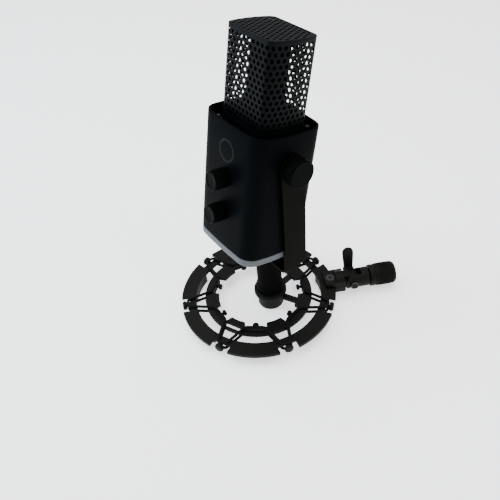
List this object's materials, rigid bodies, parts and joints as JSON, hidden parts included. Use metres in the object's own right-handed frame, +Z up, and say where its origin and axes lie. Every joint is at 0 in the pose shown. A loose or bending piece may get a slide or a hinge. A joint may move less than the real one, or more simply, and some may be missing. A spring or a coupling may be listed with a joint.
{
  "type": "condenser microphone",
  "caption": "Desktop condenser microphone with perforated square grille, front knobs and light band, held in a tilting U yoke on an elastic ring shock mount with a stand adapter.",
  "frame": {"origin": "on the table, under the middle of the shock mount's hub", "axes": "+Z up; the microphone's front, with the two knobs, faces -Y; the yoke's tilt axis is along X"},
  "size_m": [0.156, 0.2075, 0.2828],
  "materials": {
    "casing_black": "satin black paint",
    "knob_black": "fine matt black",
    "grille_black": "black powder coat",
    "band_grey": "frosted translucent light guide",
    "plastic_black": "moulded black",
    "yoke_black": "satin black paint",
    "mount_black": "moulded black, dull",
    "elastic_black": "braided elastic",
    "foam_black": "open-cell foam",
    "steel": "plain steel",
    "blackened_steel": "black oxide",
    "brass": "plain brass",
    "board_green": "glass-fibre board",
    "touch_film": "smooth touch film",
    "film_gold": "gold-sputtered film"
  },
  "bodies": {
    "mount_base": {"outer_ring": "mount_black", "outer_pegs": "mount_black", "elastic_cord_outer": "elastic_black", "swivel_lug": "mount_black", "lug_bolt": "blackened_steel"},
    "hub": {"hub_stud": "steel", "inner_ring": "mount_black", "inner_pegs": "mount_black", "elastic_cord_inner": "elastic_black"},
    "collar": {"lock_collar": "mount_black"},
    "yoke": {"yoke_bracket": "yoke_black", "friction_washers": "plastic_black", "stand_stem": "mount_black", "stem_washer": "steel", "stem_bolt": "blackened_steel"},
    "left_thumb": {"tilt_knob_left": "knob_black", "tilt_stud_left": "steel"},
    "right_thumb": {"tilt_knob_right": "knob_black", "tilt_stud_right": "steel"},
    "mic": {"body_shell": "casing_black", "light_ring": "band_grey", "bottom_cover": "plastic_black", "deck_plate": "plastic_black", "deck_posts": "plastic_black", "deck_screws": "blackened_steel", "pivot_bushes": "brass", "mute_touch_pad": "touch_film", "grille_wall": "grille_black", "grille_top": "grille_black", "grille_base_frame": "plastic_black", "capsule_housing": "steel", "capsule_backplate": "brass", "capsule_diaphragms": "film_gold", "capsule_cradle": "plastic_black", "foam_screen": "foam_black", "main_board": "board_green", "control_board": "board_green", "led_board": "board_green", "socket_board": "board_green", "gain_potentiometer": "steel", "volume_potentiometer": "steel", "xlr_socket_shell": "blackened_steel", "xlr_insulator": "plastic_black", "xlr_pins": "brass", "usb_socket": "steel", "headphone_socket": "brass"},
    "gain_control": {"gain_shaft": "steel", "gain_knob": "knob_black"},
    "volume_control": {"volume_shaft": "steel", "volume_knob": "knob_black"},
    "adapter": {"swivel_clamp": "mount_black", "swivel_nut": "blackened_steel"},
    "socket": {"stand_socket": "mount_black"},
    "wing": {"wing_screw": "mount_black"}
  },
  "joints": [
    {"name": "elastic_float", "type": "slide", "parent": "mount_base", "child": "hub", "axis": [0, 0, 1], "range_m": [-0.003, 0.003], "stiffness_N_per_m": 2500, "springref_m": 0.003},
    {"name": "collar_turn", "type": "hinge", "parent": "hub", "child": "collar", "pos_m": [0, 0, 0.018], "axis": [0, 0, 1], "range_deg": [0, 360]},
    {"name": "yoke_pan", "type": "hinge", "parent": "hub", "child": "yoke", "pos_m": [0, 0, 0.04], "axis": [0, 0, 1], "range_deg": [-180, 180]},
    {"name": "mic_tilt", "type": "hinge", "parent": "yoke", "child": "mic", "pos_m": [0, 0, 0.1877], "axis": [1, 0, 0], "range_deg": [-78.5, 101.5]},
    {"name": "left_thumb_turn", "type": "hinge", "parent": "yoke", "child": "left_thumb", "pos_m": [-0.045, 0, 0.1877], "axis": [-1, 0, 0], "range_deg": [0, 360]},
    {"name": "right_thumb_turn", "type": "hinge", "parent": "yoke", "child": "right_thumb", "pos_m": [0.045, 0, 0.1877], "axis": [1, 0, 0], "range_deg": [0, 360]},
    {"name": "gain_turn", "type": "hinge", "parent": "mic", "child": "gain_control", "pos_m": [0, -0.03812, 0.17586], "axis": [0, -0.9799, 0.1994], "range_deg": [-150, 150]},
    {"name": "volume_turn", "type": "hinge", "parent": "mic", "child": "volume_control", "pos_m": [0, -0.04437, 0.14519], "axis": [0, -0.9799, 0.1994], "range_deg": [-150, 150]},
    {"name": "adapter_tilt", "type": "hinge", "parent": "mount_base", "child": "adapter", "pos_m": [0.03986, 0.07496, 0.0132], "axis": [0.8829, -0.4695, 0], "range_deg": [-45, 90]},
    {"name": "socket_spin", "type": "hinge", "parent": "adapter", "child": "socket", "pos_m": [0.05418, 0.10189, 0.0132], "axis": [0.4695, 0.8829, 0], "continuous": true},
    {"name": "wing_turn", "type": "hinge", "parent": "mount_base", "child": "wing", "pos_m": [0.03103, 0.07966, 0.0132], "axis": [0.8829, -0.4695, 0], "range_deg": [-60, 60]}
  ]
}
